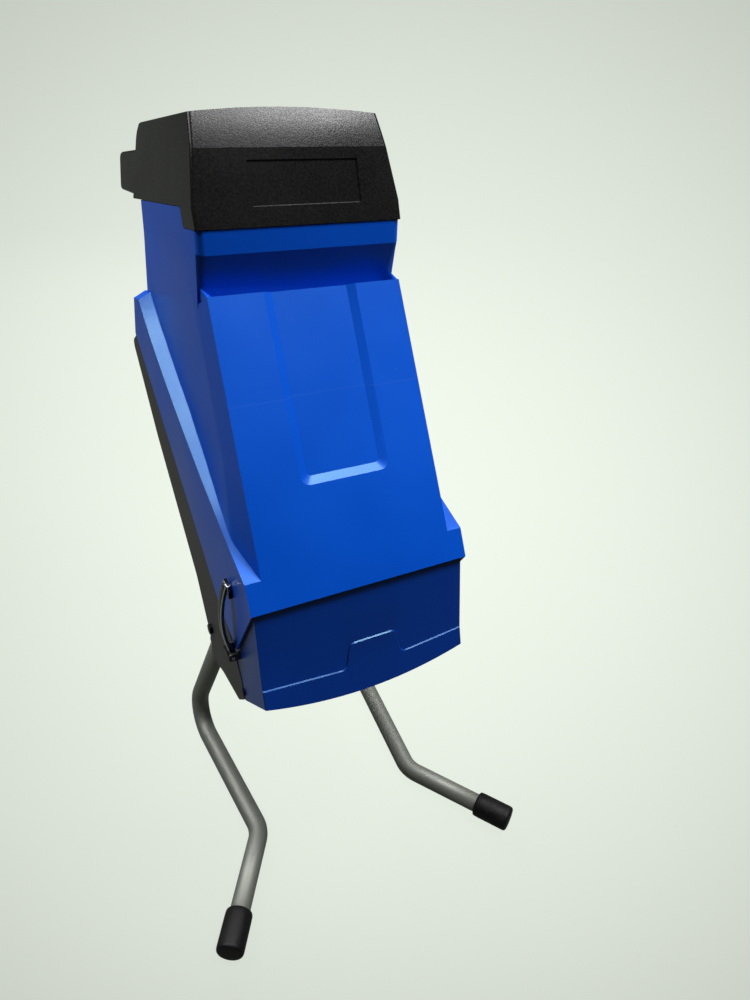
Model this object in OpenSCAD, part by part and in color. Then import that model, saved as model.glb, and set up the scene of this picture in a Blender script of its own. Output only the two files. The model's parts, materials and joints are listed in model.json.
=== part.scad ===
// Garden shredder: a hinged hopper over a knife disc, standing on two bent floor tubes.
// Millimetres, +Z up. The sloped front panel faces -Y.

/* [Stand] */
// Outside diameter of the leg tubes
tube_d = 25; // [23:0.5:27]
// Wall of the leg tubes
tube_wall = 1.5; // [1:0.1:2.5]
// Radius of the tube bends, on the middle line
bend_r = 42; // [36:1:46]
// Front bends inside the cheeks, to the tube's middle
front_bend_in = 11.7; // [5:0.1:19]
// Rear bends outside the cheeks, to the tube's middle
rear_bend_out = 9.3; // [5.5:0.1:13.5]
// Front bends to rear bends, front to back
runner_length = 236; // [230:1:242]
// Tube from the corner of a front bend to its tip
foot_length = 154; // [140:1:170]
// Outward turn of the front feet, degrees
foot_splay = 32.7; // [25:0.1:38]
// Forward lean of the rising tubes, degrees
leg_lean = 20; // [18:0.1:22]
// Inward lean of the rising tubes, degrees
leg_tuck = 7.8; // [7:0.1:8.6]
// Tube from the corner of a rear bend to its upper end
leg_length = 298; // [290:1:305]
// Outside diameter of the foot caps
cap_d = 33.6; // [31:0.1:37]
// Length of the foot caps
cap_length = 49; // [40:1:60]

/* [Front shell] */
// Height of the lower edge of the lip
lip_z = 434; // [428:1:440]
// Upright height of the lip band
lip_height = 26; // [20:1:32]
// Width over the cheeks
body_width = 253.4; // [252:0.1:256]
// Step in from the cheeks to the body above the lip
waist_step = 2.7; // [1.7:0.1:4.7]
// Width of the flat front panel
panel_width = 217; // [190:1:217]
// Slope of the front panel, degrees from level
panel_angle = 58; // [57:0.1:59]
// Length of the front panel up its slope
panel_length = 312.5; // [306:0.5:318]
// Inward lean of the panel's side edges, degrees
panel_taper = 1.2; // [0.8:0.1:1.6]
// Width of the panel's long recess
recess_width = 101; // [80:1:120]
// Depth of the panel's long recess
recess_depth = 4; // [2:0.5:6]
// Width of the sloped sides of the recess
recess_slope = 9; // [6:0.5:12]
// Slope of the cheek ridge, degrees from level
ridge_angle = 28.4; // [27.5:0.1:29.5]
// Wall of the front shell
shell_wall = 3.2; // [2.5:0.1:4]

/* [Hood and chute] */
// Width of the chute and of the hood's lower rim
chute_width = 217.6; // [214:0.1:221]
// Wall of the chute
chute_wall = 5; // [4:0.5:6]
// Rearward dip of the hood, degrees
hood_tilt = 10.6; // [9.8:0.1:11.4]
// Height of the hood above its front rim
hood_height = 99; // [90:1:108]
// Width of the hood at its top
hood_top_width = 193; // [184:1:202]
// Wall of the hood
hood_wall = 3; // [2.5:0.1:4]
// Rise of the hood's crowned top in the middle
hood_crown = 5; // [2:0.5:8]
// Width of the feed mouth
mouth_width = 164; // [150:1:170]
// Reach of the rear handle behind the hood
handle_reach = 84; // [78:1:92]
// Thickness of the handle's arms
handle_arm = 20; // [16:1:26]
// Wall of the feed funnel
funnel_wall = 2.5; // [2:0.1:3.5]

/* [Base] */
// Slope of the line between hopper and base, degrees
split_angle = 32.2; // [31.8:0.1:32.6]
// Step in from the cheeks to the rear shell
rear_step = 2.7; // [1.7:0.1:3.7]
// Wall of the rear shell
rear_wall = 3; // [2.5:0.1:4]
// Step in from the cheeks to the lower cover
cover_step = 3.9; // [3.7:0.1:4.7]
// Wall of the lower cover
cover_wall = 3; // [2.5:0.1:4]
// Depth by which the cover's lower edge bows down
cover_bow = 15; // [8:1:20]
// Stand-out of the cover's lower rim
rim_step = 1.5; // [0.5:0.5:2]

/* [Drive] */
// Diameter of the motor
motor_d = 100; // [92:1:104]
// Length of the motor
motor_length = 100; // [90:1:102]
// Diameter of the motor shaft
shaft_d = 12; // [10:0.5:14]
// Running clearance on the radius
run_gap = 0.05; // [0.02:0.01:0.1]
// Diameter of the knife disc
disc_d = 170; // [150:1:176]
// Thickness of the knife disc
disc_t = 6; // [5:0.5:8]
// Thickness of the motor plate
plate_t = 8; // [6:0.5:10]
// Number of fan blades
fan_blades = 9; // [5:1:13]

/* [Latches and hinge] */
// Width of a latch strap
latch_width = 14; // [12:0.5:16]
// Thickness of a latch strap
latch_t = 5; // [4:0.5:6]
// Diameter of the latch pins
latch_pin_d = 4; // [3:0.5:5]
// Diameter of the hinge pins
hinge_pin_d = 6; // [5:0.5:8]
// Width of a hinge knuckle
knuckle_width = 20; // [16:1:26]
// Spacing of the two hinges
hinge_spacing = 120; // [100:1:140]

/* [Switch box] */
// Width of the switch box
box_width = 72; // [70:1:84]
// Depth of the switch box behind the chute
box_depth = 36; // [34:1:44]
// Diameter of the start and stop buttons
button_d = 18; // [14:0.5:20]
// Button travel
button_travel = 3; // [2:0.5:4]
// Diameter of a mains pin
mains_pin_d = 4.8; // [4:0.1:5]
// Length of a mains pin
mains_pin_length = 19; // [16:0.5:20]
// Spacing of the mains pins
mains_pin_spacing = 19; // [18:0.5:20]

/* [Hidden] */
$fn = 48;

// Front to back, all lengths count from the middle of the foot caps, then the row is centred.
mid_y = 299.7;
gap = 0.5;
// Room round a screw or bolt in its hole, on the radius.
hole_gap = 0.1;
lip = [82, lip_z];

// Widths that follow the cheeks.
waist_width = body_width - 2 * waist_step;
rear_width = body_width - 2 * rear_step;
cover_width = body_width - 2 * cover_step;
front_bend_x = body_width / 2 - front_bend_in;
rear_bend_x = body_width / 2 + rear_bend_out;

// Points of the body's side view, each [Y, Z].
panel_dir = [cos(panel_angle), sin(panel_angle)];
panel_top = lip + panel_length * panel_dir;
ledge = lip + lip_height / sin(panel_angle) * panel_dir;
ridge_end = panel_top + [228.7, -75.2];
kink = [ridge_end[0] - (ridge_end[1] - ledge[1]) / tan(ridge_angle), ledge[1]];
cheek_rear = ridge_end + [30, -10];
split_start = lip + [118, -77];
split_dir = [cos(split_angle), sin(split_angle)];
split_length = 382;
split_end = split_start + split_length * split_dir;
skirt = lip + [55, -96];
hinge = split_end + [15, 5];

// Side view of the chute and hood, in the hood's own tilted frame [back, up].
hood_corner = panel_top + [11.3, 59];
hood_rear = 274;
chute_rear = 239;
chute_foot = 266.4;
foot_drop = 93;
step_back = 45;
step_up = 19;
chute_front = 1;
band_height = 22;
chute_pts = [[chute_front, 0], [chute_front, -band_height], [17, -55], [30, -90], [chute_foot - 2, -foot_drop - 7],
    [chute_foot, -foot_drop], [chute_rear, step_up], [step_back + 5, step_up], [step_back, 0]];
back_lean = atan((chute_foot - chute_rear) / (step_up + foot_drop));
hood_top = hood_height + hood_crown;
hood_pts = [[0, 0], [step_back, 0], [step_back + 5, step_up], [hood_rear, step_up],
    [hood_rear - 17, hood_top], [16 + 0.455 * (hood_top - 69), hood_top], [16, 69]];

// Drive frame: the disc and motor turn about this line, square to the split line.
drive_back = -17;
drive_up = 14.3;
disc_z = 18;
can_top = -plate_t;
can_end = can_top - motor_length;
bearing_d = 28;
fan_z = can_end - 15;
plate_half = rear_width / 2 - 12;
screw_x = plate_half - 7;
screw_d = 4;
screw_head = 9;
screw_hole = screw_d + 2 * hole_gap;
bolt_d = 6;
bolt_hole = bolt_d + 2 * hole_gap;
tab_x = cover_width / 2 - 10.8;
cover_screw_at = [128, lip_z - 158];
switch_x = rear_width / 2 - 17;

// Legs: corner points of one tube, right side. The tube's straight and bent lengths butt with a hair of room.
weld = 0.01;
cap_end = 5;
foot_in = foot_length + cap_end - cap_length;
foot_lift = (cap_d - tube_d) / 2 / foot_in;
front_corner = [front_bend_x, 113, tube_d / 2];
rear_corner = [rear_bend_x, 113 + runner_length, tube_d / 2];
foot_dir = unit([sin(foot_splay), -cos(foot_splay), foot_lift]);
leg_dir = [-sin(leg_tuck), -sin(leg_lean) * cos(leg_tuck), cos(leg_lean) * cos(leg_tuck)];
foot_tip = front_corner + foot_length * foot_dir;
leg_top = rear_corner + leg_length * leg_dir;
leg_bolt_at = rear_corner + 264 * leg_dir;

// Latch, seen from the front on the right side [X, Z].
latch_y = 148;
latch_pivot = [cover_width / 2 + 8.2, lip_z - 108];
latch_mid_z = lip_z - 54;
latch_r = 155.5;
latch_mid_x = body_width / 2 - 145.7;
keeper_out = 4;

// Vector and outline helpers.
function unit(v) = v / norm(v);
function edge_side(a, b) = [a[1] - b[1], b[0] - a[0]] / norm(b - a);
function meet(p, u, q, v) =
    p + ((q - p)[0] * v[1] - (q - p)[1] * v[0]) / (u[0] * v[1] - u[1] * v[0]) * u;
// Moves each edge of a counter-clockwise outline inward by its own distance.
function inset(pts, ds) = let(n = len(pts)) [for (i = [0:n - 1])
    let(a = pts[(i + n - 1) % n], b = pts[i], c = pts[(i + 1) % n],
        d1 = ds[(i + n - 1) % n], d2 = ds[i])
    meet(b + d1 * edge_side(a, b), b - a, b + d2 * edge_side(b, c), c - b)];
function to_side(v, side) = [side * v[0], v[1], v[2]];
function same(n, d) = [for (i = [1:n]) d];
// Rounds each corner of an outline with its own radius, 0 leaves it sharp.
function rounded(pts, radii, steps = 5) = let(n = len(pts)) [for (i = [0:n - 1])
    let(b = pts[i], u = unit(b - pts[(i + n - 1) % n]), v = unit(pts[(i + 1) % n] - b), r = radii[i],
        turn = atan2(u[0] * v[1] - u[1] * v[0], u * v), s = b - r * tan(abs(turn) / 2) * u,
        m = s + sign(turn) * r * [-u[1], u[0]], w = s - m)
    each r == 0 ? [b] : [for (k = [0:steps]) let(t = turn * k / steps)
        m + [w[0] * cos(t) - w[1] * sin(t), w[0] * sin(t) + w[1] * cos(t)]]];
function box_pts(x, y0, y1) = [[-x, y0], [x, y0], [x, y1], [-x, y1]];

// Frames and extrusions.
module place() translate([0, -mid_y, 0]) children();
module across(w) rotate([90, 0, 90]) linear_extrude(w, center = true) children();
module along(y0, y1) translate([0, y1, 0]) rotate([90, 0, 0]) linear_extrude(y1 - y0) children();
module on_panel() translate([0, lip[0], lip[1]]) rotate([panel_angle, 0, 0]) children();
module on_hood() translate([0, hood_corner[0], hood_corner[1]]) rotate([-hood_tilt, 0, 0]) children();
module on_back() on_hood() translate([0, chute_rear, step_up]) rotate([back_lean, 0, 0]) children();
module on_split() translate([0, split_start[0], split_start[1]]) rotate([split_angle, 0, 0]) children();
module on_drive() on_split() translate([0, drive_back, drive_up]) children();
module slab(x0, x1, y0, y1, z0, z1) translate([x0, y0, z0]) cube([x1 - x0, y1 - y0, z1 - z0]);
module rod(d, z0, z1) translate([0, 0, z0]) cylinder(d = d, h = z1 - z0);
module both_kept() intersection() { children(); mirror([1, 0, 0]) children(); }
module both_sides() { children(); mirror([1, 0, 0]) children(); }
module x_rod(d, x0, x1) translate([x0, 0, 0]) rotate([0, 90, 0]) cylinder(d = d, h = x1 - x0);
module y_rod(d, y0, y1) translate([0, y1, 0]) rotate([90, 0, 0]) cylinder(d = d, h = y1 - y0);

// Puts a child's axes on the directions u, v, w at the point p.
module axes_at(p, u, v, w)
    multmatrix([[u[0], v[0], w[0], p[0]], [u[1], v[1], w[1], p[1]], [u[2], v[2], w[2], p[2]], [0, 0, 0, 1]])
        children();
function beside(w) = unit(cross(w, [0.31, 0.2, 0.93]));
module aim(p, w) axes_at(p, beside(w), cross(w, beside(w)), w) children();
// One tube bend: outward side at its start, its axis, and the outward side at its end.
function bend_out(u, v) = unit(u * (u * v) - v);
function bend_axis(u, v) = cross(bend_out(u, v), u);
function bend_last(u, v) = unit(u - v * (u * v));
module tube_ring(roll) rotate(roll) difference() {
    circle(d = tube_d);
    circle(d = tube_d - 2 * tube_wall);
}
module bend(p, u, v, roll) {
    turn = acos(u * v);
    axes_at(p + bend_r / cos(turn / 2) * unit(v - u), bend_out(u, v), u, bend_axis(u, v))
        rotate_extrude(angle = turn) translate([bend_r, 0]) tube_ring(roll);
}
module straight(p, q, side) {
    w = unit(q - p);
    axes_at(p, side, cross(w, side), w) linear_extrude(norm(q - p)) tube_ring(0);
}

// Stand
module leg(side) color("gray") {
    u = -to_side(foot_dir, side);
    v = unit(to_side(rear_corner - front_corner, side));
    w = to_side(leg_dir, side);
    p = to_side(front_corner, side);
    q = to_side(rear_corner, side);
    t1 = bend_r * tan(acos(u * v) / 2);
    t2 = bend_r * tan(acos(v * w) / 2);
    turned = bend_last(u, v);
    roll = atan2(turned * bend_axis(v, w), turned * bend_out(v, w));
    straight(p - foot_length * u, p - (t1 + weld) * u, bend_out(u, v));
    bend(p, u, v, 0);
    straight(p + (t1 + weld) * v, q - (t2 + weld) * v, turned);
    bend(q, v, w, roll);
    difference() {
        straight(q + (t2 + weld) * w, q + leg_length * w,
            cos(roll) * bend_last(v, w) + sin(roll) * bend_axis(v, w));
        translate(to_side(leg_bolt_at, side)) x_rod(bolt_hole, -40, 40);
    }
}
module foot_cap() color("black") aim(foot_tip + cap_end * foot_dir, -foot_dir) rotate_extrude() {
    r = cap_d / 2;
    polygon([[0, 0], [r - 5, 0], [r - 2.2, 0.8], [r - 0.7, 2.3], [r, 5], [r, cap_length - 2],
        [r - 1.5, cap_length], [tube_d / 2, cap_length], [tube_d / 2, cap_end], [0, cap_end]]);
}
module leg_bolt() color("silver") translate([0, leg_bolt_at[1], leg_bolt_at[2]]) {
    x_rod(bolt_d, leg_bolt_at[0] - 18, rear_half(-115) + 0.15);
    x_rod(13, rear_half(-115) + 0.15, rear_half(-115) + 4);
}
module leg_left() leg(-1);
module leg_right() leg(1);
module foot_cap_left() mirror([1, 0, 0]) foot_cap();
module foot_cap_right() foot_cap();
module leg_bolts() both_sides() leg_bolt();

// Base housings
function rear_half(z) = rear_width / 2 + z * 3 / 175;
tail = [405, -48];
shell_pts = [[-111, -42], [-105, -74], [-60, -124], [-28, -170], [-3, -139], [70, -107], [268, -82],
    tail, [split_length, -gap], [0, -gap], [-55, -11], [-94, -24]];
shell_radii = [4, 12, 20, 10, 30, 60, 80, 10, 0, 20, 10, 0];
module rear_block(pts, d) intersection() {
    on_split() across(300) polygon(pts);
    on_split() along(-150, 450)
        polygon([[-rear_half(-200) + d, -200], [rear_half(-200) - d, -200], [rear_half(10) - d, 10],
            [-rear_half(10) + d, 10]]);
}
module socket_line(d, l0, l1) aim(rear_corner + l0 * leg_dir, leg_dir) cylinder(d = d, h = l1 - l0);
module rear_shell() color("dimgray") difference() {
    union() {
        difference() {
            rear_block(rounded(shell_pts, shell_radii), 0);
            rear_block(rounded(inset(shell_pts, [-20, rear_wall, rear_wall, rear_wall, rear_wall,
                rear_wall, rear_wall, rear_wall, -20, -20, -20, -20]),
                [0, 0, 17, 7, 33, 63, 83, 7, 0, 0, 0, 0]), rear_wall);
        }
        both_sides() {
            socket_line(tube_d + 7, 224, leg_length);
            for (y = [-45, 80]) on_drive() {
                slab(screw_x - 7, cover_width / 2 - cover_wall - gap, y - 9, y + 9, -62, can_top);
                slab(screw_x - 7, rear_half(-60) - 1, y - 9, y + 9, -62, -46);
            }
            // Tab that takes the cover's screw.
            slab(tab_x, cover_width / 2 - cover_wall, 120, 150, lip_z - 168, lip_z - 148);
            slab(tab_x, rear_half(-60) - 1, 141, 150, lip_z - 168, lip_z - 148);
            // Hinge lugs on both sides of the knuckle.
            for (s = [-1, 1]) translate([hinge_spacing / 2 + s * (knuckle_width / 2 + 3.5), 0, 0]) {
                across(6) polygon([hinge + [-8, 0], hinge + [-14, -40], hinge + [24, -36], hinge + [8, 0]]);
                translate([0, hinge[0], hinge[1]]) x_rod(16, -3, 3);
            }
        }
        // Shelf of the safety switch.
        on_split() slab(switch_x - 11, rear_half(-30) - 1, 300, 326, -36, -32);
    }
    both_sides() {
        socket_line(tube_d, 200, leg_length + 1);
        translate(leg_bolt_at) x_rod(bolt_hole, -40, 40);
        translate([0, hinge[0], hinge[1]]) x_rod(hinge_pin_d, 30, 100);
        translate([0, cover_screw_at[0], cover_screw_at[1]]) {
            x_rod(screw_hole, tab_x - 7, cover_width / 2 + 7);
            x_rod(screw_head + 2 * gap, cover_width / 2, cover_width / 2 + 7);
        }
        for (y = [-45, 80]) on_drive() translate([screw_x, y, 0]) rod(screw_hole, -24 - gap, 0);
    }
    // Cooling slots under the fan.
    for (i = [-4:4]) on_drive() slab(i * 10 - 2.5, i * 10 + 2.5, -34, 0, -190, can_end - 18);
}

cover_top = [lip[0] + 4.5, lip[1] - 1.5];
cover_crease = lip + [-16, -91];
cover_foot = lip + [-24, -113];
cover_slope = (cover_top - cover_crease) / (cover_top[1] - cover_crease[1]);
cover_pts = [cover_foot, lip + [43, -169], lip + [51, -147], lip + [76, -115], lip + [104, -91],
    lip + [94, -62], cover_top, cover_crease];
bow_pts = [for (i = [-10:10]) [i / 10 * cover_width / 2, cover_foot[1] - cover_bow * (1 - i * i / 100)]];
module cover_front(d) intersection() {
    across(cover_width + 2 * d) polygon([
        cover_top + [-d, 0], cover_crease + [-d, 0], cover_foot + [-d, 0], cover_foot + [-d - 5, -25],
        cover_foot + [cover_wall - 5, -25], cover_foot + [cover_wall, 0], cover_crease + [cover_wall, 0],
        cover_top + [cover_wall, 0]]);
    along(0, 150) polygon(concat([for (p = bow_pts) p], [[cover_width / 2 + 5, cover_foot[1]],
        [cover_width / 2 + 5, 500], [-cover_width / 2 - 5, 500], [-cover_width / 2 - 5, cover_foot[1]]]));
}
// Lower rim of the cover, with a raised step in the middle.
rim_pts = [[-cover_width / 2 - 5, cover_crease[1] - 1], [-30, cover_crease[1] - 7], [-17, cover_crease[1] + 23],
    [33, cover_crease[1] + 23], [46, cover_crease[1] - 7], [cover_width / 2 + 5, cover_crease[1] - 1],
    [cover_width / 2 + 5, 250], [-cover_width / 2 - 5, 250]];
module lower_cover() color("navy") difference() {
    union() {
        cover_front(0);
        intersection() {
            cover_front(rim_step);
            along(0, 150) polygon(rim_pts);
        }
        both_sides() translate([cover_width / 2 - cover_wall / 2, 0, 0]) across(cover_wall) polygon(cover_pts);
    }
    both_sides() translate([0, cover_screw_at[0], cover_screw_at[1]])
        x_rod(screw_hole, tab_x - 7, cover_width / 2 + 7);
}
module cover_screw() translate([0, cover_screw_at[0], cover_screw_at[1]]) {
    x_rod(screw_d, tab_x, cover_width / 2);
    x_rod(screw_head, cover_width / 2, cover_width / 2 + 2.5);
}
module cover_screws() color("silver") both_sides() cover_screw();

// Drive on the base
plate_front = -57;
plate_rear = 95;
module motor_plate() color("silver") on_drive() difference() {
    slab(-plate_half, plate_half, plate_front, plate_rear, -plate_t, 0);
    rod(bearing_d, -plate_t - 1, 1);
    both_sides() for (y = [-45, 80]) translate([screw_x, y, 0]) rod(screw_d + 1, -plate_t - 1, 1);
}
module plate_screws() color("dimgray") on_drive() both_sides()
    for (y = [-45, 80]) translate([screw_x, y, 0]) {
    rod(screw_d, -24, 0);
    rod(screw_head, 0, 3.5);
}
module chip_shield() color("silver")
    on_drive() slab(2 - plate_half, plate_half - 2, plate_front - 3, plate_front, can_end, 0);
module motor_can() color("gray") on_drive() difference() {
    union() {
        rod(motor_d, can_end, can_top);
        for (i = [0:2]) rod(motor_d + 3, can_top - 22 - i * 30, can_top - 18 - i * 30);
    }
    rod(motor_d - 34, can_end + 10, can_top - 8);
    rod(bearing_d, can_end - 1, can_end + 11);
    rod(shaft_d + 6, can_top - 9, can_top + 1);
}
module brush_holders() color("black") on_drive() difference() {
    both_sides() slab(motor_d / 2 - 3, motor_d / 2 + 12, -8, 8, can_end + 24, can_end + 42);
    rod(motor_d, can_end, can_top);
}
module bearing(z) color("silver") on_drive() difference() {
    rod(bearing_d, z, z + 8);
    rod(shaft_d + 2 * run_gap, z - 1, z + 9);
}
module upper_bearing() bearing(-plate_t);
module lower_bearing() bearing(can_end + 1);

// Rotor
module armature_shaft() color("silver") on_drive() {
    rod(shaft_d, fan_z - 2, disc_z + disc_t);
    rod(motor_d - 42, can_end + 18, can_top - 18);
}
module cooling_fan() color("black") on_drive() difference() {
    union() {
        rod(26, fan_z, fan_z + 12);
        rod(80, fan_z + 9, fan_z + 12);
        for (i = [0:fan_blades - 1]) rotate(i * 360 / fan_blades) slab(8, 40, -1, 1, fan_z, fan_z + 10);
    }
    rod(shaft_d, fan_z - 1, fan_z + 13);
}
module knife_disc() color("silver") on_drive() difference() {
    union() {
        rod(disc_d, disc_z, disc_z + disc_t);
        rod(36, 8, disc_z + 1);
    }
    rod(shaft_d, 0, disc_z + disc_t + 1);
    for (a = [0, 180]) rotate(a) {
        slab(24, disc_d / 2 - 8, 15, 25, disc_z - 1, disc_z + disc_t + 1);
        for (x = [36, 62]) translate([x, 2, 0]) rod(6, disc_z - 1, disc_z + disc_t + 1);
    }
}
module knives() color("silver") on_drive() for (a = [0, 180]) rotate(a) difference() {
    translate([0, 0, disc_z + disc_t]) rotate([90, 0, 90]) translate([0, 0, 22])
        linear_extrude(disc_d / 2 - 27) polygon([[-12, 0], [18, 0], [18, 1], [14, 4], [-12, 4]]);
    for (x = [36, 62]) translate([x, 2, 0]) rod(6, disc_z, disc_z + disc_t + 6);
}
module knife_screws() color("dimgray") on_drive() for (a = [0, 180]) rotate(a)
    for (x = [36, 62]) translate([x, 2, 0]) {
        rod(6, disc_z - 4, disc_z + disc_t + 4);
        rod(10, disc_z + disc_t + 4, disc_z + disc_t + 6.5);
    }
module disc_bolt() color("dimgray") on_drive() {
    rod(24, disc_z + disc_t, disc_z + disc_t + 2);
    translate([0, 0, disc_z + disc_t + 2]) cylinder(d = 15, h = 6, $fn = 6);
}

// Hopper
flare_low = waist_width / 2;
flare_high = chute_width / 2 - 0.4;
// One side of the sloped panel: its face and the chamfer beside it, [X, out of the panel].
chamfer_pts = [[-300, -330], [140, -330], [140, panel_width / 2 - 140], [panel_width / 2, 0], [-300, 0]];
taper_from = 88;
waist_pts = [lip + 8 * panel_dir, lip + [68, -14], lip + [370, 126], panel_top + [266, -81],
    panel_top + [264, -1], panel_top + [60, -1], panel_top + [22, -14], panel_top];
// The cheeks: a level front part, and a rear part under the two tilted faces of the ridge.
split_mid = split_start + 118 * split_dir;
ridge_rise = 0.66;
ridge_lift = [0, 9];
lip_pts = [lip, skirt, split_start, split_mid, [split_mid[0], ledge[1]], ledge];
cheek_pts = [split_start, split_end, cheek_rear + ridge_lift, ridge_end + ridge_lift, kink + ridge_lift];
function flare_pts(d) = [[-flare_low + d, 380], [flare_low - d, 380], [flare_low - d, ledge[1]],
    [flare_high - d, panel_top[1]], [flare_high - d, panel_top[1] + 30], [-flare_high + d, panel_top[1] + 30],
    [-flare_high + d, panel_top[1]], [-flare_low + d, ledge[1]]];
module waist(d) intersection() {
    across(300) polygon(inset(waist_pts, same(8, d)));
    along(0, 600) polygon(flare_pts(d));
    on_panel() both_kept() translate([panel_width / 2, taper_from, 0]) rotate(panel_taper)
        translate([-panel_width / 2, -taper_from, 0]) along(-50, 420) polygon(inset(chamfer_pts, same(5, d)));
    on_back() linear_extrude(900, center = true) polygon(inset([[-flare_low, -600], [flare_low, -600],
        [flare_low, -20], [flare_low - 16, 0], [16 - flare_low, 0], [-flare_low, -20]], same(6, d)));
}
module chute(d, over) on_hood() intersection() {
    across(300) polygon(inset(chute_pts, [d, d, d, d, d, d, -over, -over, -over]));
    linear_extrude(300, center = true) polygon(rounded(
        [[-chute_width / 2 + d, chute_front + d], [chute_width / 2 - d, chute_front + d],
        [chute_width / 2 - d, 400], [-chute_width / 2 + d, 400]], [18 - d, 18 - d, 0, 0]));
    translate([0, chute_rear, step_up]) rotate([back_lean, 0, 0]) linear_extrude(400, center = true)
        polygon(rounded([[-chute_width / 2 + d, -400], [chute_width / 2 - d, -400],
        [chute_width / 2 - d, -d], [-chute_width / 2 + d, -d]], [0, 0, 8 - d, 8 - d]));
}
// Everything below the face that holds the line p to q at the cheek's outside and rises inward.
module under_ridge(p, q, d) {
    a = unit([0, q[0] - p[0], q[1] - p[1]]);
    n = unit(cross(a, [-1, 0, ridge_rise]));
    axes_at([body_width / 2, p[0], p[1]] - d * n, a, cross(n, a), n)
        translate([-600, -500, -600]) cube([1400, 1000, 600]);
}
module cheeks(d, over) {
    across(body_width - 2 * d) polygon(inset(lip_pts, [-over, -over, -over, -over, d, d]));
    intersection() {
        across(body_width - 2 * d) polygon(inset(cheek_pts, [-over, d, d, d, -over]));
        both_kept() under_ridge(kink, ridge_end, d);
        both_kept() under_ridge(ridge_end, cheek_rear, d);
    }
}
// The long recess, open at its upper end, with sloped sides and foot.
recess_mid = 2.5;
recess_low = 116;
module recess_face(d, z) translate([recess_mid, 0, z]) linear_extrude(0.01) polygon([
    [-recess_width / 2 + d, recess_low + d], [recess_width / 2 - d, recess_low + d],
    [recess_width / 2 - d, panel_length + 20], [-recess_width / 2 + d, panel_length + 20]]);
module recess() on_panel() hull() {
    recess_face(0, 0);
    recess_face(recess_slope, -recess_depth);
}
module front_shell() color("blue") difference() {
    union() {
        difference() {
            union() {
                waist(0);
                chute(0, 0);
                cheeks(0, 0);
            }
            waist(shell_wall);
            chute(chute_wall, 20);
            cheeks(shell_wall, 20);
        }
        // Floor of the long recess.
        on_panel() translate([recess_mid, 0, 0]) slab(-recess_width / 2 - 3, recess_width / 2 + 3,
            recess_low - 3, panel_length - 3, -recess_depth - shell_wall, -shell_wall / 2);
        // Hinge knuckles on the rear edge.
        both_sides() translate([hinge_spacing / 2, 0, 0]) {
            across(knuckle_width) polygon([split_end + [-2, 4], hinge + [4, -4], hinge + [4, 6], cheek_rear + [1, -6]]);
            translate([0, hinge[0], hinge[1]]) x_rod(16, -knuckle_width / 2, knuckle_width / 2);
        }
        // Finger that presses the safety plunger.
        on_split() slab(switch_x - 7, body_width / 2 - 1, 306, 320, 2.4, 22);
    }
    recess();
    translate([0, hinge[0], hinge[1]]) both_sides() x_rod(hinge_pin_d + 2 * run_gap, 30, 100);
}
module hinge_pins() color("silver") translate([0, hinge[0], hinge[1]]) both_sides()
    x_rod(hinge_pin_d, hinge_spacing / 2 - knuckle_width / 2 - 8, hinge_spacing / 2 + knuckle_width / 2 + 8);

function hood_half(q) = q < 69 ? chute_width / 2 - (q - step_up) * (chute_width / 2 - 101) / (69 - step_up) :
    101 - (q - 69) * (101 - hood_top_width / 2) / (hood_height - 69);
function hood_front_pts(d) = [[-chute_width / 2 + d, -1], [chute_width / 2 - d, -1], [chute_width / 2 - d, step_up],
    [101 - d, 69], [hood_half(hood_height) - d, hood_height], [40, hood_height + 0.8 * hood_crown],
    [0, hood_top], [-40, hood_height + 0.8 * hood_crown], [-hood_half(hood_height) + d, hood_height],
    [-101 + d, 69], [-chute_width / 2 + d, step_up]];
mouth_front = 40;
mouth_rear = 208;
hood_roof = hood_height - 4;
module hopper_hood() color("black") difference() {
    on_hood() intersection() {
        across(300) polygon(rounded(hood_pts, [0, 0, 0, 0, 22, 3, 12]));
        along(-10, 300) polygon(hood_front_pts(0));
    }
    on_hood() intersection() {
        across(300) difference() {
            polygon(inset(hood_pts, [-9, -9, -9, hood_wall, hood_top - hood_roof, hood_wall, hood_wall]));
            // Floor of the part that reaches back past the chute.
            translate([chute_rear - 6, 0]) square([80, step_up + hood_wall]);
        }
        along(-10, 300) polygon(hood_front_pts(hood_wall));
    }
    on_hood() linear_extrude(300) polygon(rounded(
        [[-mouth_width / 2, mouth_front], [mouth_width / 2, mouth_front], [mouth_width / 2, mouth_rear],
        [-mouth_width / 2, mouth_rear]], [18, 18, 18, 18]));
    // Shallow plate recess on the front face.
    on_hood() translate([0, 0, 0]) rotate([-atan2(16, 69), 0, 0])
        slab(-50, 65, -5, 0.8, 18.5, 60);
}
function hood_back(q) = hood_rear - 17 * (q - step_up) / (hood_top - step_up);
module rear_handle() color("black") on_hood() difference() {
    intersection() {
        across(300) polygon(rounded([[hood_back(23), 23], [hood_rear + handle_reach, 27],
            [hood_rear + handle_reach + 8, 71], [hood_back(72), 72]], [0, 8, 12, 0]));
        along(200, 450) polygon(hood_front_pts(0));
    }
    linear_extrude(200, center = true) polygon(rounded(box_pts(chute_width / 2 - 2 - handle_arm,
        hood_rear + 12, hood_rear + handle_reach - 32), [10, 10, 10, 10]));
}

// Funnel: a straight duct under the mouth, then a tapered throat down to the knives.
duct_front = 34;
duct_rear = 214;
duct_half = mouth_width / 2 + 5;
duct_low = -62;
throat_half = 58;
throat_front = -34;
throat_rear = 34;
throat_z = disc_z + disc_t + 12;
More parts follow.
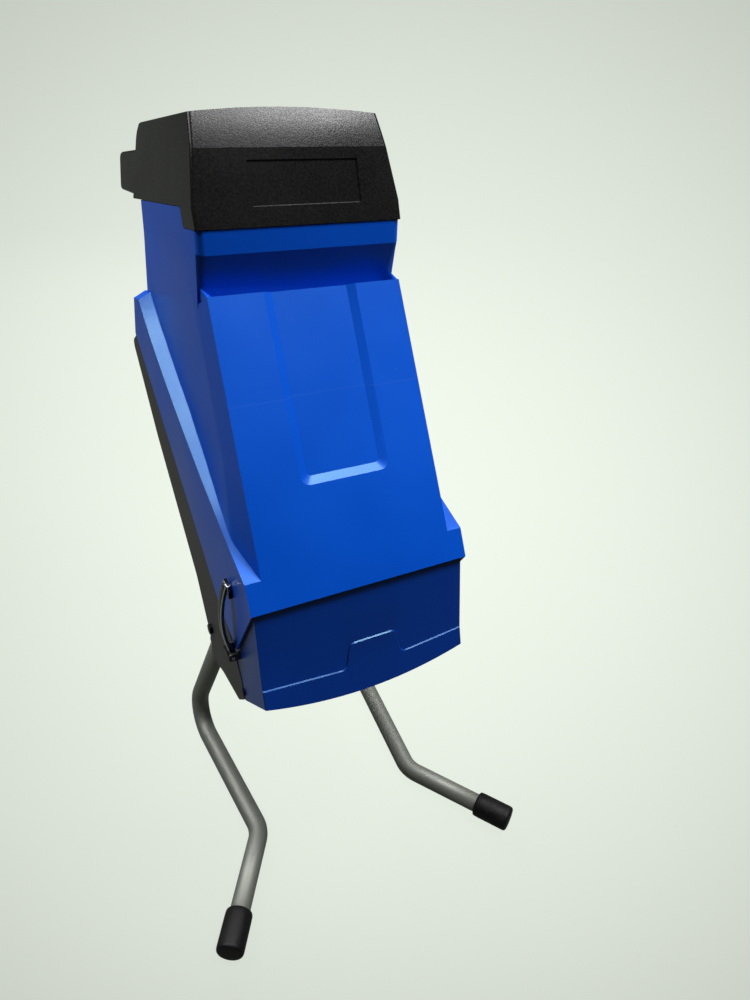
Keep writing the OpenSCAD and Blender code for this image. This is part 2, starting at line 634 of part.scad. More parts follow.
// The throat's upper end sits inside the duct's wall by this much.
throat_tuck = 0.4;
module throat(d, over) hull() {
    on_hood() translate([0, 0, duct_low]) linear_extrude(4 + over) polygon(box_pts(
        duct_half - throat_tuck - d, duct_front + throat_tuck + d, duct_rear - throat_tuck - d));
    on_drive() translate([0, 0, throat_z - over]) linear_extrude(1 + over)
        polygon(box_pts(throat_half - d, throat_front + d, throat_rear - d));
}
module feed_funnel() color("dimgray") {
    on_hood() difference() {
        union() {
            translate([0, 0, duct_low]) linear_extrude(hood_roof - duct_low)
                polygon(box_pts(duct_half, duct_front, duct_rear));
            translate([0, 0, hood_roof - 3]) linear_extrude(3)
                polygon(box_pts(duct_half + 4, duct_front - 1, duct_rear + 4));
        }
        translate([0, 0, duct_low - 1]) linear_extrude(hood_roof - duct_low + 2)
            polygon(box_pts(duct_half - funnel_wall, duct_front + funnel_wall, duct_rear - funnel_wall));
    }
    difference() {
        throat(0, 0);
        throat(funnel_wall, 1);
    }
}
module counter_knife() color("silver") on_drive()
    slab(-throat_half + 3, throat_half - 3, throat_front - 5, throat_front, throat_z - 2, throat_z + 1);

// Latches, right side, mirrored for the left
module latch_ring(r, t, a0, a1) translate([latch_mid_x, latch_y, latch_mid_z]) rotate([90, 0, 0])
    rotate([0, 0, a0]) translate([0, 0, -latch_width / 2])
        rotate_extrude(angle = a1 - a0, $fn = 192) translate([r, 0]) square([t, latch_width]);
keeper_z = lip_z - 16;
keeper_pts = [[body_width / 2, keeper_z - 8], [body_width / 2 + keeper_out, keeper_z - 8],
    [body_width / 2 + keeper_out, keeper_z], [body_width / 2 + keeper_out - 3.5, keeper_z + 7],
    [body_width / 2, keeper_z + 7]];
module keeper() color("black") along(latch_y - 6, latch_y + 6) polygon(keeper_pts);
nose_pts = [[body_width / 2 + keeper_out + 0.6, keeper_z + 0.4], [body_width / 2 + keeper_out - 2.9, keeper_z + 7.4],
    [body_width / 2 + keeper_out - 2.9, keeper_z + 11], [body_width / 2 + keeper_out + 2, keeper_z + 11]];
module latch() color("black") difference() {
    union() {
        latch_ring(latch_r, latch_t, -19.5, asin((keeper_z + 11 - latch_mid_z) / (latch_r + latch_t)));
        along(latch_y - latch_width / 2, latch_y + latch_width / 2) polygon(nose_pts);
        translate([latch_pivot[0], 0, latch_pivot[1]])
            y_rod(latch_pin_d + 7, latch_y - latch_width / 2, latch_y + latch_width / 2);
    }
    translate([latch_pivot[0], 0, latch_pivot[1]]) y_rod(latch_pin_d + 2 * run_gap, latch_y - 20, latch_y + 20);
}
module latch_mount() color("dimgray") difference() {
    union() for (s = [-1, 1]) translate([0, latch_y + s * (latch_width / 2 + 2.3), 0]) {
        along(-1.8, 1.8) polygon([[cover_width / 2, latch_pivot[1] - 5], [latch_pivot[0], latch_pivot[1] - 5],
            [latch_pivot[0], latch_pivot[1] + 5], [cover_width / 2, latch_pivot[1] + 5]]);
        translate([latch_pivot[0], 0, latch_pivot[1]]) y_rod(10, -1.8, 1.8);
    }
    translate([latch_pivot[0], 0, latch_pivot[1]]) y_rod(latch_pin_d, latch_y - 30, latch_y + 30);
}
module latch_pin() color("silver") translate([latch_pivot[0], 0, latch_pivot[1]])
    y_rod(latch_pin_d, latch_y - latch_width / 2 - 5, latch_y + latch_width / 2 + 5);
module keeper_left() mirror([1, 0, 0]) keeper();
module keeper_right() keeper();
module latch_left() mirror([1, 0, 0]) latch();
module latch_right() latch();
module latch_mount_left() mirror([1, 0, 0]) latch_mount();
module latch_mount_right() latch_mount();
module latch_pin_left() mirror([1, 0, 0]) latch_pin();
module latch_pin_right() latch_pin();

// Switch box behind the chute
box_low = -104;
box_high = -14;
box_back = box_depth;
button_q = -33;
inlet_at = [-6, -71];
inlet_d = 38;
reset_at = [26, -91];
module at_box(x, q) on_back() translate([x, 0, q]) children();
module switch_box() color("black") difference() {
    on_back() across(box_width) polygon(rounded([[0, box_low], [box_back, box_low],
        [box_back, box_high], [0, box_high]], [0, 5, 5, 0]));
    for (x = [-18, 18]) at_box(x, button_q) y_rod(button_d + 2 * run_gap, box_back - 17, box_back + 1);
    at_box(inlet_at[0], inlet_at[1]) y_rod(inlet_d, box_back - 25, box_back + 1);
    at_box(reset_at[0], reset_at[1]) y_rod(8 + 2 * run_gap, box_back - 14, box_back + 1);
}
module button(x, shade) color(shade) at_box(x, button_q)
    y_rod(button_d, box_back - 16 + button_travel, box_back + button_travel + 1);
module start_button() button(-18, "green");
module stop_button() button(18, "red");
module reset_button() color("gold") at_box(reset_at[0], reset_at[1]) y_rod(8, box_back - 9, box_back + 3.5);
module mains_inlet() color("black") at_box(inlet_at[0], inlet_at[1]) {
    difference() {
        y_rod(inlet_d, box_back - 25, box_back);
        y_rod(inlet_d - 5, box_back - 22, box_back + 1);
    }
    for (s = [-1, 1]) translate([s * mains_pin_spacing / 2, 0, 0])
        y_rod(mains_pin_d, box_back - 22.5, box_back - 22 + mains_pin_length);
}

// Safety switch that the closed hopper holds down
module safety_switch() color("black") on_split() difference() {
    slab(switch_x - 9, switch_x + 9, 302, 324, -32, -6);
    translate([switch_x, 313, 0]) rod(6 + 2 * run_gap, -20, -5);
}
module safety_plunger() color("gold") on_split() translate([switch_x, 313, 0]) rod(6, -14, 2);

place() {
    leg_left();
    leg_right();
    foot_cap_left();
    foot_cap_right();
    leg_bolts();
    rear_shell();
    lower_cover();
    cover_screws();
    motor_plate();
    plate_screws();
    chip_shield();
    motor_can();
    brush_holders();
    upper_bearing();
    lower_bearing();
    safety_switch();
    latch_mount_left();
    latch_mount_right();
    latch_pin_left();
    latch_pin_right();
    hinge_pins();
    armature_shaft();
    cooling_fan();
    knife_disc();
    knives();
    knife_screws();
    disc_bolt();
    front_shell();
    hopper_hood();
    rear_handle();
    feed_funnel();
    counter_knife();
    keeper_left();
    keeper_right();
    switch_box();
    mains_inlet();
    latch_left();
    latch_right();
    start_button();
    stop_button();
    reset_button();
    safety_plunger();
}
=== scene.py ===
"""Garden shredder: blue hopper shell and black hood over a motor base on bent tube legs."""
import json
import math

import bmesh
import bpy
from mathutils import Matrix, Vector


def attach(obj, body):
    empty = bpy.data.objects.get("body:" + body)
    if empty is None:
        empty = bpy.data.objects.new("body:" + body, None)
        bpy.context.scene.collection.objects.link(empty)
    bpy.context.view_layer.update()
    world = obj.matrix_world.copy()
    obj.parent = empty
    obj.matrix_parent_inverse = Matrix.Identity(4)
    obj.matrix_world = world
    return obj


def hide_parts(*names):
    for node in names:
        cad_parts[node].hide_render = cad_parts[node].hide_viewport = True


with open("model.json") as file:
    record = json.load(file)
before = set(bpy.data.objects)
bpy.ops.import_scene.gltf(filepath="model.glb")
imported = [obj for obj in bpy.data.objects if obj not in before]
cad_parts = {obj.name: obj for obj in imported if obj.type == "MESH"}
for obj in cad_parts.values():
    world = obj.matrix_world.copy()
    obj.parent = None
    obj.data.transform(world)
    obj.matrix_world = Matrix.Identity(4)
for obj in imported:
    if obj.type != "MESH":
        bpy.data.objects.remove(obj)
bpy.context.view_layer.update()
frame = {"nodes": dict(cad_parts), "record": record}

# Lengths are millimetres: X across, then back, then up. A place in the side view is (back, up).
DEPTH_MIDDLE = 299.7
TO_METRES = Matrix.Scale(0.001, 4) @ Matrix.Translation((0, -DEPTH_MIDDLE, 0))
LIP = (82, 434)
SKIRT = (137, 338)
SPLIT_START = (200, 357)
SPLIT_END = (523.2, 560.6)
HOOD_STEP = 19
HOOD_CREASE = 69


def frame_at(back, up, tilt):
    return Matrix.Translation((0, back, up)) @ Matrix.Rotation(math.radians(tilt), 4, "X")


BODY = Matrix.Identity(4)
PANEL = frame_at(*LIP, 58)
HOOD = frame_at(258.9, 758, -10.6)
BACK = HOOD @ frame_at(239, HOOD_STEP, 13.75)

# Camera
CAMERA_PLACE = Vector((-0.2933, -0.72842, 0.94479))
CAMERA_RIGHT = Vector((0.8857, -0.459, 0.0691))
CAMERA_UP = Vector((0.2091, 0.5274, 0.8235))
SIGHT = Vector((0.4144, 0.7149, -0.5631))
SENSOR_HEIGHT = 36
LENS = 26.366


def add_camera():
    data = bpy.data.cameras.new("camera")
    data.sensor_fit = "VERTICAL"
    data.sensor_height = SENSOR_HEIGHT
    data.lens = LENS
    camera = bpy.data.objects.new("camera", data)
    turn = Matrix((CAMERA_RIGHT, CAMERA_UP, -SIGHT)).transposed().to_4x4()
    camera.matrix_world = Matrix.Translation(CAMERA_PLACE) @ turn
    bpy.context.collection.objects.link(camera)
    bpy.context.scene.camera = camera


add_camera()


# Materials
def shade(red, green, blue):
    """A colour given in screen values from 0 to 255."""
    values = []
    for level in (red, green, blue):
        level = level / 255
        values.append(level / 12.92 if level <= 0.04045 else ((level + 0.055) / 1.055) ** 2.4)
    return (*values, 1)


class Value:
    """A shader socket that takes part in plain sums."""

    def __init__(self, nodes, socket):
        self.nodes = nodes
        self.socket = socket

    def sum(self, operation, first, second):
        return self.nodes.node("ShaderNodeMath", {"operation": operation}, {0: first, 1: second})

    def __add__(self, other):
        return self.sum("ADD", self, other)

    def __radd__(self, other):
        return self.sum("ADD", other, self)

    def __sub__(self, other):
        return self.sum("SUBTRACT", self, other)

    def __rsub__(self, other):
        return self.sum("SUBTRACT", other, self)

    def __mul__(self, other):
        return self.sum("MULTIPLY", self, other)

    def __rmul__(self, other):
        return self.sum("MULTIPLY", other, self)

    def __abs__(self):
        return self.sum("ABSOLUTE", self, 0)


class Nodes:
    """A node tree, with helpers that add nodes to it."""

    def __init__(self, tree):
        self.tree = tree

    def node(self, kind, settings=None, inputs=None, out=0):
        made = self.tree.nodes.new(kind)
        for key, value in (settings or {}).items():
            setattr(made, key, value)
        for key, value in (inputs or {}).items():
            self.feed(made.inputs[key], value)
        return Value(self, made.outputs[out])

    def feed(self, socket, value):
        if isinstance(value, Value):
            self.tree.links.new(value.socket, socket)
        else:
            socket.default_value = value

    def span(self, value, low, high, out_low=0, out_high=1):
        """The value's stretch from low to high, spread over another stretch and held at its ends."""
        return self.node("ShaderNodeMapRange", {"clamp": True}, {
            0: value, 1: low, 2: high, 3: out_low, 4: out_high})

    def tint(self, mask, low, high):
        return self.node("ShaderNodeMix", {"data_type": "RGBA"}, {0: mask, 6: low, 7: high}, out=2)

    def vector(self, operation, *inputs, out=0):
        return self.node("ShaderNodeVectorMath", {"operation": operation}, dict(enumerate(inputs)), out)


class Paint(Nodes):
    """One material on a principled shader, laid out in the object's own coordinates."""

    def __init__(self, name, **plain):
        self.material = bpy.data.materials.new(name)
        self.material.use_nodes = True
        super().__init__(self.material.node_tree)
        self.shader = self.tree.nodes["Principled BSDF"]
        for socket, value in plain.items():
            self.shader.inputs[socket.replace("_", " ")].default_value = value
        self.place = self.node("ShaderNodeTexCoord", out="Object")

    def noise(self, scale, detail=2, rough=0.5, place=None):
        return self.node("ShaderNodeTexNoise", None, {
            "Vector": place or self.place, "Scale": scale, "Detail": detail, "Roughness": rough})

    def stretched(self, x, y, z):
        return self.node("ShaderNodeMapping", None, {"Vector": self.place, "Scale": (x, y, z)})

    def axis(self, name):
        return self.node("ShaderNodeSeparateXYZ", None, {0: self.place}, out=name)

    def bump(self, height, strength, depth):
        return self.node("ShaderNodeBump", None, {
            "Height": height, "Strength": strength, "Distance": depth})

    def finish(self, colour, rough, normal):
        for name, value in (("Base Color", colour), ("Roughness", rough), ("Normal", normal)):
            self.feed(self.shader.inputs[name], value)
        return self.material


BLUE_GLINT = (0.5, 0.95, 1, 1)
WHITE_GLINT = (1, 1, 1, 1)
LEVEL_LINE = 0.608


def moulded(name, base, light, grain, rough, depth, specular, glint=WHITE_GLINT):
    """Moulded plastic: fine spark-eroded grain, slow colour drift, a few pale specks of dust."""
    paint = Paint(name, Specular_IOR_Level=specular, Specular_Tint=glint)
    drift = paint.noise(7, 3)
    fine = paint.noise(grain, 3, 0.65)
    pits = paint.noise(grain * 2.3, 1)
    colour = paint.tint(paint.span(drift * 0.5 + fine * 0.5, 0.35, 0.65), base, light)
    dust = paint.span(paint.noise(420, 2, 0.7), 0.76, 0.8, 0, 0.12)
    colour = paint.tint(dust, colour, shade(200, 205, 205))
    gloss = paint.span(drift + fine, 0.8, 1.2, rough - 0.05, rough + 0.06)
    return paint.finish(colour, gloss, paint.bump(fine * 0.6 + pits * 0.4, 0.35, depth))


def shell_blue():
    """Satin blue moulding with a faint level line half way up."""
    paint = Paint("shell_blue", Specular_IOR_Level=0.4, Specular_Tint=BLUE_GLINT)
    drift = paint.noise(6, 3)
    fine = paint.noise(1500, 2, 0.6)
    cloud = paint.span(drift * 0.7 + fine * 0.3, 0.35, 0.65)
    colour = paint.tint(cloud, shade(0, 72, 186), shade(2, 80, 202))
    dust = paint.span(paint.noise(380, 2, 0.7), 0.75, 0.79, 0, 0.2)
    colour = paint.tint(dust, colour, shade(190, 205, 230))
    line = paint.span(abs(paint.axis("Z") - LEVEL_LINE), 0.0002, 0.0007, 1, 0)
    colour = paint.tint(line * 0.03, colour, shade(150, 185, 235))
    gloss = paint.span(drift, 0.35, 0.65, 0.32, 0.4)
    return paint.finish(colour, gloss, paint.bump(fine, 0.25, 0.00008))


def tube_grey():
    """Satin silver paint on tube, with a soft orange-peel and fine scuffs."""
    paint = Paint("tube_grey", Metallic=0.55)
    fleck = paint.noise(2600, 1)
    peel = paint.noise(700, 2)
    scuff = paint.span(paint.noise(60, 4, 0.7), 0.62, 0.7, 0, 0.35)
    colour = paint.tint(paint.span(fleck, 0.3, 0.7), shade(118, 121, 114), shade(140, 143, 136))
    colour = paint.tint(scuff, colour, shade(100, 102, 97))
    return paint.finish(colour, paint.span(peel, 0.3, 0.7, 0.52, 0.62), paint.bump(peel, 0.15, 0.0001))


def rubber_black():
    """Dull rubber with a greyer bloom in patches."""
    paint = Paint("rubber_black", Specular_IOR_Level=0.22)
    bloom = paint.noise(55, 4, 0.6)
    fine = paint.noise(1900, 2, 0.6)
    colour = paint.tint(paint.span(bloom, 0.4, 0.75), shade(11, 10, 11), shade(22, 21, 21))
    return paint.finish(colour, paint.span(bloom, 0.3, 0.7, 0.5, 0.66), paint.bump(fine, 0.3, 0.00012))


def metal(name, dark, light, rough, lines):
    """Machined metal with fine lines along one direction and a few duller patches."""
    paint = Paint(name, Metallic=1.0)
    grain = paint.noise(1, 4, 0.6, paint.stretched(*lines))
    patch = paint.noise(38, 3)
    colour = paint.tint(paint.span(grain * 0.6 + patch * 0.4, 0.35, 0.65), dark, light)
    gloss = paint.span(grain + patch * 0.5, 0.5, 1.0, rough - 0.08, rough + 0.1)
    return paint.finish(colour, gloss, paint.bump(grain, 0.12, 0.0001))


def button_gloss(name, base, light):
    """Smooth glossy plastic of small moulded pieces."""
    paint = Paint(name, Specular_IOR_Level=0.55)
    drift = paint.noise(90, 2)
    fine = paint.noise(2200, 1)
    colour = paint.tint(paint.span(drift, 0.35, 0.65), base, light)
    return paint.finish(colour, paint.span(drift, 0.3, 0.7, 0.22, 0.34), paint.bump(fine, 0.1, 0.00006))


finishes = {
    "blue_shell": shell_blue(),
    # The cover's darker blue is painted shade: the same plastic as the shell, darkened for the shade on its
    # front.
    "dark_blue": moulded("cover_blue_painted_shade", shade(0, 46, 134), shade(2, 54, 150), grain=1500, rough=0.36,
                         depth=0.00008, specular=0.4, glint=BLUE_GLINT),
    "black_plastic": moulded("hood_black", shade(13, 13, 14), shade(28, 28, 27), grain=460, rough=0.27,
                             depth=0.0004, specular=0.15),
    "charcoal_plastic": moulded("shell_charcoal", shade(40, 39, 36), shade(52, 50, 46), grain=1100,
                                rough=0.5, depth=0.0002, specular=0.4),
    "tube_paint": tube_grey(),
    "cap_rubber": rubber_black(),
    "steel": metal("bright_steel", shade(150, 152, 154), shade(196, 198, 200), 0.3, (60, 2400, 2400)),
    "plate_metal": metal("cast_plate", shade(160, 162, 165), shade(205, 206, 208), 0.45, (700, 700, 700)),
    "green_button": button_gloss("button_green", shade(20, 120, 52), shade(28, 140, 62)),
    "red_button": button_gloss("button_red", shade(168, 22, 22), shade(190, 32, 28)),
    "amber_button": button_gloss("button_amber", shade(205, 150, 30), shade(222, 170, 44)),
}
latch_black = button_gloss("latch_black", shade(14, 14, 15), shade(22, 22, 23))
black_oxide = metal("black_oxide", shade(24, 24, 26), shade(42, 42, 44), 0.45, (500, 500, 900))
# Bright metal on the latch edges is a painted highlight, where the glossy black edges catch the light.
painted_edge_highlight = metal("painted_edge_highlight", shade(170, 172, 176), shade(224, 226, 230), 0.32, (500, 500, 900))

for part in frame["record"]["subparts"]:
    node = frame["nodes"][part["node"]]
    node.data.materials.clear()
    node.data.materials.append(finishes[part["material_slot"]])
for name in ("cover_screws", "leg_bolts"):
    frame["nodes"][name].data.materials[0] = black_oxide


# Modelling helpers
def value_at(points, place):
    """The height of a broken line over a place, level beyond its ends."""
    for (a0, b0), (a1, b1) in zip(points, points[1:]):
        if place <= a1:
            return b0 + (b1 - b0) * max((place - a0) / (a1 - a0), 0)
    return points[-1][1]


def arc(centre, radius, first, last, steps):
    """Points on a circle, angles in degrees."""
    turns = [math.radians(first + (last - first) * k / steps) for k in range(steps + 1)]
    return [(centre[0] + radius * math.cos(t), centre[1] + radius * math.sin(t)) for t in turns]


def hand(side):
    return "left" if side < 0 else "right"


def grown_verts(found):
    return [item for item in found if isinstance(item, bmesh.types.BMVert)]


def prism(points, half):
    """A side view outline carried across from one side to the other."""
    bm = bmesh.new()
    face = bm.faces.new([bm.verts.new((-half, y, z)) for y, z in points])
    grown = bmesh.ops.extrude_face_region(bm, geom=[face])["geom"]
    bmesh.ops.translate(bm, vec=(2 * half, 0, 0), verts=grown_verts(grown))
    bmesh.ops.recalc_face_normals(bm, faces=bm.faces)
    return bm


def cut(bm, point, normal, faces=None, clear=False):
    """Adds a loop where a plane crosses the mesh, or takes away what is beyond it and caps the cut."""
    faces = faces or bm.faces[:]
    edges = dict.fromkeys(edge for face in faces for edge in face.edges)
    verts = dict.fromkeys(vert for face in faces for vert in face.verts)
    found = bmesh.ops.bisect_plane(bm, geom=[*verts, *edges, *faces], dist=0.0005, plane_co=point,
                                   plane_no=normal, clear_outer=clear)
    if clear:
        rim = [item for item in found["geom_cut"] if isinstance(item, bmesh.types.BMEdge)]
        bmesh.ops.edgeloop_fill(bm, edges=rim)
        bmesh.ops.recalc_face_normals(bm, faces=bm.faces)


def edges_where(bm, test):
    return [edge for edge in bm.edges if all(test(vert.co) for vert in edge.verts)]


def faces_where(bm, test):
    return [face for face in bm.faces if test(face.calc_center_median())]


def ring_edges(bm, ring):
    return [edge for edge in bm.edges if all(vert in ring for vert in edge.verts)]


def rise(edge):
    return abs(edge.verts[0].co.z - edge.verts[1].co.z)


def keeps_side(edge):
    """Whether an edge stays on the left or on the right."""
    return edge.verts[0].co.x * edge.verts[1].co.x > 0


def drop(bm, faces):
    bmesh.ops.delete(bm, geom=faces, context="FACES")


def round_off(bm, edges, width, steps):
    return bmesh.ops.bevel(bm, geom=edges, offset=width, offset_type="OFFSET", segments=steps, profile=0.5,
                           affect="EDGES", clamp_overlap=True, material=-1)


def joined(*parts):
    """One mesh of several, each freed."""
    whole = bmesh.new()
    for bm in parts:
        loose = bpy.data.meshes.new("loose")
        bm.to_mesh(loose)
        bm.free()
        whole.from_mesh(loose)
        bpy.data.meshes.remove(loose)
    return whole


def to_object(name, bm, place):
    bmesh.ops.transform(bm, matrix=TO_METRES @ place, verts=bm.verts)
    mesh = bpy.data.meshes.new(name)
    bm.to_mesh(mesh)
    bm.free()
    obj = bpy.data.objects.new(name, mesh)
    bpy.context.collection.objects.link(obj)
    return obj


def soften(obj, width, steps, angle):
    """Small rounded edges, with flat faces kept flat in the shading."""
    edge = obj.modifiers.new("edges", "BEVEL")
    edge.width = width / 1000
    edge.segments = steps
    edge.limit_method = "ANGLE"
    edge.angle_limit = math.radians(angle)
    edge.harden_normals = True
    edge.use_clamp_overlap = True


def thicken(obj, wall):
    shell = obj.modifiers.new("wall", "SOLIDIFY")
    shell.thickness = wall / 1000
    shell.offset = -1
    shell.use_even_offset = True


def piece(name, bm, place, slot, body, nodes=(), wall=0, edge=0, steps=3, angle=28, finish=None):
    """A finished piece on its body. Wall and edge are millimetres, and the angle tells what is sharp."""
    obj = to_object(name, bm, place)
    obj.data.materials.append(finish or finishes[slot])
    obj.data.shade_smooth()
    obj.data.set_sharp_from_angle(angle=math.radians(angle))
    if wall:
        thicken(obj, wall)
    if edge:
        soften(obj, edge, steps, angle)
    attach(obj, body)
    if nodes:
        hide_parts(*nodes)
    return obj


def merged(bodies, hollow):
    """The union of closed shapes, less one more shape."""
    first = bodies[0]
    bodies = [*bodies, hollow]
    for other in bodies[1:]:
        step = first.modifiers.new("merge", "BOOLEAN")
        step.operation = "DIFFERENCE" if other is hollow else "UNION"
        step.solver = "EXACT"
        step.object = other
    bpy.context.view_layer.update()
    ready = first.evaluated_get(bpy.context.evaluated_depsgraph_get())
    bm = bmesh.new()
    bm.from_mesh(ready.to_mesh())
    ready.to_mesh_clear()
    for other in bodies:
        mesh = other.data
        bpy.data.objects.remove(other)
        bpy.data.meshes.remove(mesh)
    return bm


# Hood, in its own leaning frame
HOOD_WIDEST = 108.8
HOOD_TOP = 99
HOOD_TOP_HALF = 96.5
HOOD_CROWN = 5
HOOD_REAR = 274
HOOD_SIDE = [(0, HOOD_WIDEST), (HOOD_STEP, HOOD_WIDEST), (HOOD_CREASE, 101), (HOOD_TOP, HOOD_TOP_HALF)]
HOOD_FACE = [(0, 0), (HOOD_CREASE, 16)]
HOOD_BROW = [(76, 18.8), (84, 22.24), (93, 26.38), (HOOD_TOP + HOOD_CROWN, 32.1)]
REAR_ROUND = (236, 80)
REAR_RADIUS = 24
MOUTH_HALF = 82
MOUTH_FRONT, MOUTH_REAR = 44, 204
COLLAR_END = 76
PLATE_LEFT, PLATE_RIGHT = -50, 65
PLATE_LOW, PLATE_HIGH = 18, 58.5


def hood_half(up):
    return value_at(HOOD_SIDE, up)


def hood_front(up):
    """Depth of the hood's front at a height: flat up to the crease, then faintly bowed."""
    return value_at(HOOD_FACE + HOOD_BROW, up)


def hood_back(up):
    return HOOD_REAR - 0.2 * (up - HOOD_STEP)


def crowned_block():
    """The hood as a block: stepped below, drawn in above its crease and crowned on top."""
    rear_top = arc(REAR_ROUND, REAR_RADIUS, 11.3, 90, 7)
    brow = [(back, up) for up, back in reversed([HOOD_FACE[1], *HOOD_BROW])]
    bm = prism([(0, 0), (45, 0), (50, HOOD_STEP), (HOOD_REAR, HOOD_STEP), *rear_top, *brow], HOOD_WIDEST)
    for up in (HOOD_STEP, HOOD_CREASE):
        cut(bm, (0, 0, up), (0, 0, 1))
    for vert in bm.verts:
        vert.co.x *= hood_half(vert.co.z) / HOOD_WIDEST
    for x in (-MOUTH_HALF, PLATE_LEFT, -25, 0, 25, PLATE_RIGHT, MOUTH_HALF):
        cut(bm, (x, 0, 0), (1, 0, 0))
    # The crown, with the front edge kept on its slope.
    round_back, round_up = REAR_ROUND
    for vert in bm.verts:
        crown = HOOD_TOP + HOOD_CROWN * (1 - (vert.co.x / HOOD_TOP_HALF) ** 2)
        if vert.co.y > round_back - 0.1 and vert.co.z > round_up:
            vert.co.z = round_up + (vert.co.z - round_up) * (crown - round_up) / REAR_RADIUS
        elif vert.co.z > crown:
            vert.co.z = crown
            vert.co.y = hood_front(crown)
    return bm


def open_mouth(bm):
    """Feed mouth in the top, with a turned-down collar and round corners."""
    for back in (MOUTH_FRONT, MOUTH_REAR):
        cut(bm, (0, back, 0), (0, 1, 0), faces_where(bm, lambda c: c.z > HOOD_TOP - 1))
    drop(bm, faces_where(bm, lambda c: c.z > HOOD_TOP - 1 and abs(c.x) < MOUTH_HALF
                         and MOUTH_FRONT < c.y < MOUTH_REAR))
    rim = [edge for edge in bm.edges if edge.is_boundary]
    for vert in grown_verts(bmesh.ops.extrude_edge_only(bm, edges=rim)["geom"]):
        vert.co.z = COLLAR_END
    corners = edges_where(bm, lambda c: abs(abs(c.x) - MOUTH_HALF) < 0.1
                          and MOUTH_FRONT - 4 < c.y < MOUTH_REAR + 6)
    round_off(bm, [edge for edge in corners if rise(edge) > 15], 18, 6)


def hopper_hood():
    bm = crowned_block()
    open_mouth(bm)

    def on_front(c):
        return c.z < HOOD_CREASE and abs(c.y - hood_front(c.z)) < 1

    # Shallow plate on the front face.
    for up in (PLATE_LOW, PLATE_HIGH):
        cut(bm, (0, 0, up), (0, 0, 1), faces_where(bm, on_front))
    plate = faces_where(bm, lambda c: on_front(c) and PLATE_LEFT < c.x < PLATE_RIGHT
                        and PLATE_LOW < c.z < PLATE_HIGH)
    bmesh.ops.inset_region(bm, faces=plate, thickness=1.0, depth=-1.4, use_even_offset=True)
    # Open below, but for a floor where it reaches back past the chute.
    skirt, floor_from, floor_up = 44, 236, HOOD_STEP + 0.1
    cut(bm, (0, floor_from, 0), (0, 1, 0), faces_where(bm, lambda c: c.z < floor_up and c.y > skirt))
    drop(bm, faces_where(bm, lambda c: c.z < 0.1 or (
        c.z < floor_up and skirt < c.y < floor_from and abs(c.x) < HOOD_WIDEST - 0.8)))

    def on_side(c):
        return abs(c.x) > hood_half(c.z) - 0.2

    def on_rear(c):
        return c.y > hood_back(c.z) - 0.5 or (c.y > REAR_ROUND[0] - 1 and c.z > REAR_ROUND[1] - 1)

    round_off(bm, edges_where(bm, lambda c: on_side(c) and c.y < hood_front(c.z) + 0.5), 3, 3)
    round_off(bm, edges_where(bm, lambda c: on_side(c) and c.z > HOOD_CREASE - 0.1 and on_rear(c)), 6, 4)
    bmesh.ops.recalc_face_normals(bm, faces=bm.faces)
    piece("hopper_hood_shell", bm, HOOD, "black_plastic", "hopper", ("hopper_hood",), wall=3, edge=0.8,
          angle=8)


def rear_handle():
    """A closed ring that stands out behind the hood, flush with its sides."""
    half, root, end = 108, 272, 358
    low, high, middle = 25, 72, 50
    gap_half, gap_front, gap_rear = 86.8, 286, 326
    bm = bmesh.new()
    corners = ((-half, root), (half, root), (half, end), (-half, end))
    bm.faces.new([bm.verts.new((x, y, low)) for x, y in corners])
    for x in (-gap_half, gap_half):
        cut(bm, (x, 0, 0), (1, 0, 0))
    for back in (gap_front, gap_rear):
        cut(bm, (0, back, 0), (0, 1, 0))
    drop(bm, faces_where(bm, lambda c: abs(c.x) < gap_half and gap_front < c.y < gap_rear))
    grown = bmesh.ops.extrude_face_region(bm, geom=bm.faces[:])["geom"]
    bmesh.ops.translate(bm, vec=(0, 0, high - low), verts=grown_verts(grown))
    bmesh.ops.recalc_face_normals(bm, faces=bm.faces)
    # Tapered towards its end, which leans back, and fitted to the hood's sides and rear.
    for vert in bm.verts:
        upper = vert.co.z > middle
        share = (vert.co.y - root) / (end - root)
        vert.co.z = high - share if upper else low - 2 + 4 * share
        if vert.co.y < root + 1:
            vert.co.y = hood_back(vert.co.z) - 8
        if upper and vert.co.y > end - 1:
            vert.co.y = end + 8
        if abs(vert.co.x) > gap_half + 1:
            vert.co.x = math.copysign(hood_half(vert.co.z), vert.co.x)
    inner = edges_where(bm, lambda c: abs(abs(c.x) - gap_half) < 0.1 and gap_front - 1 < c.y < gap_rear + 1)
    round_off(bm, [edge for edge in inner if rise(edge) > 20], 10, 4)
    for upper, radius, steps in ((True, 10, 5), (False, 6, 4)):
        back = edges_where(bm, lambda c: c.y > end - 8 and (c.z > middle) == upper)
        round_off(bm, [edge for edge in back if rise(edge) < 2], radius, steps)
    piece("rear_grip", bm, HOOD, "black_plastic", "hopper", ("rear_handle",), edge=4, steps=4, angle=35)


hopper_hood()
rear_handle()

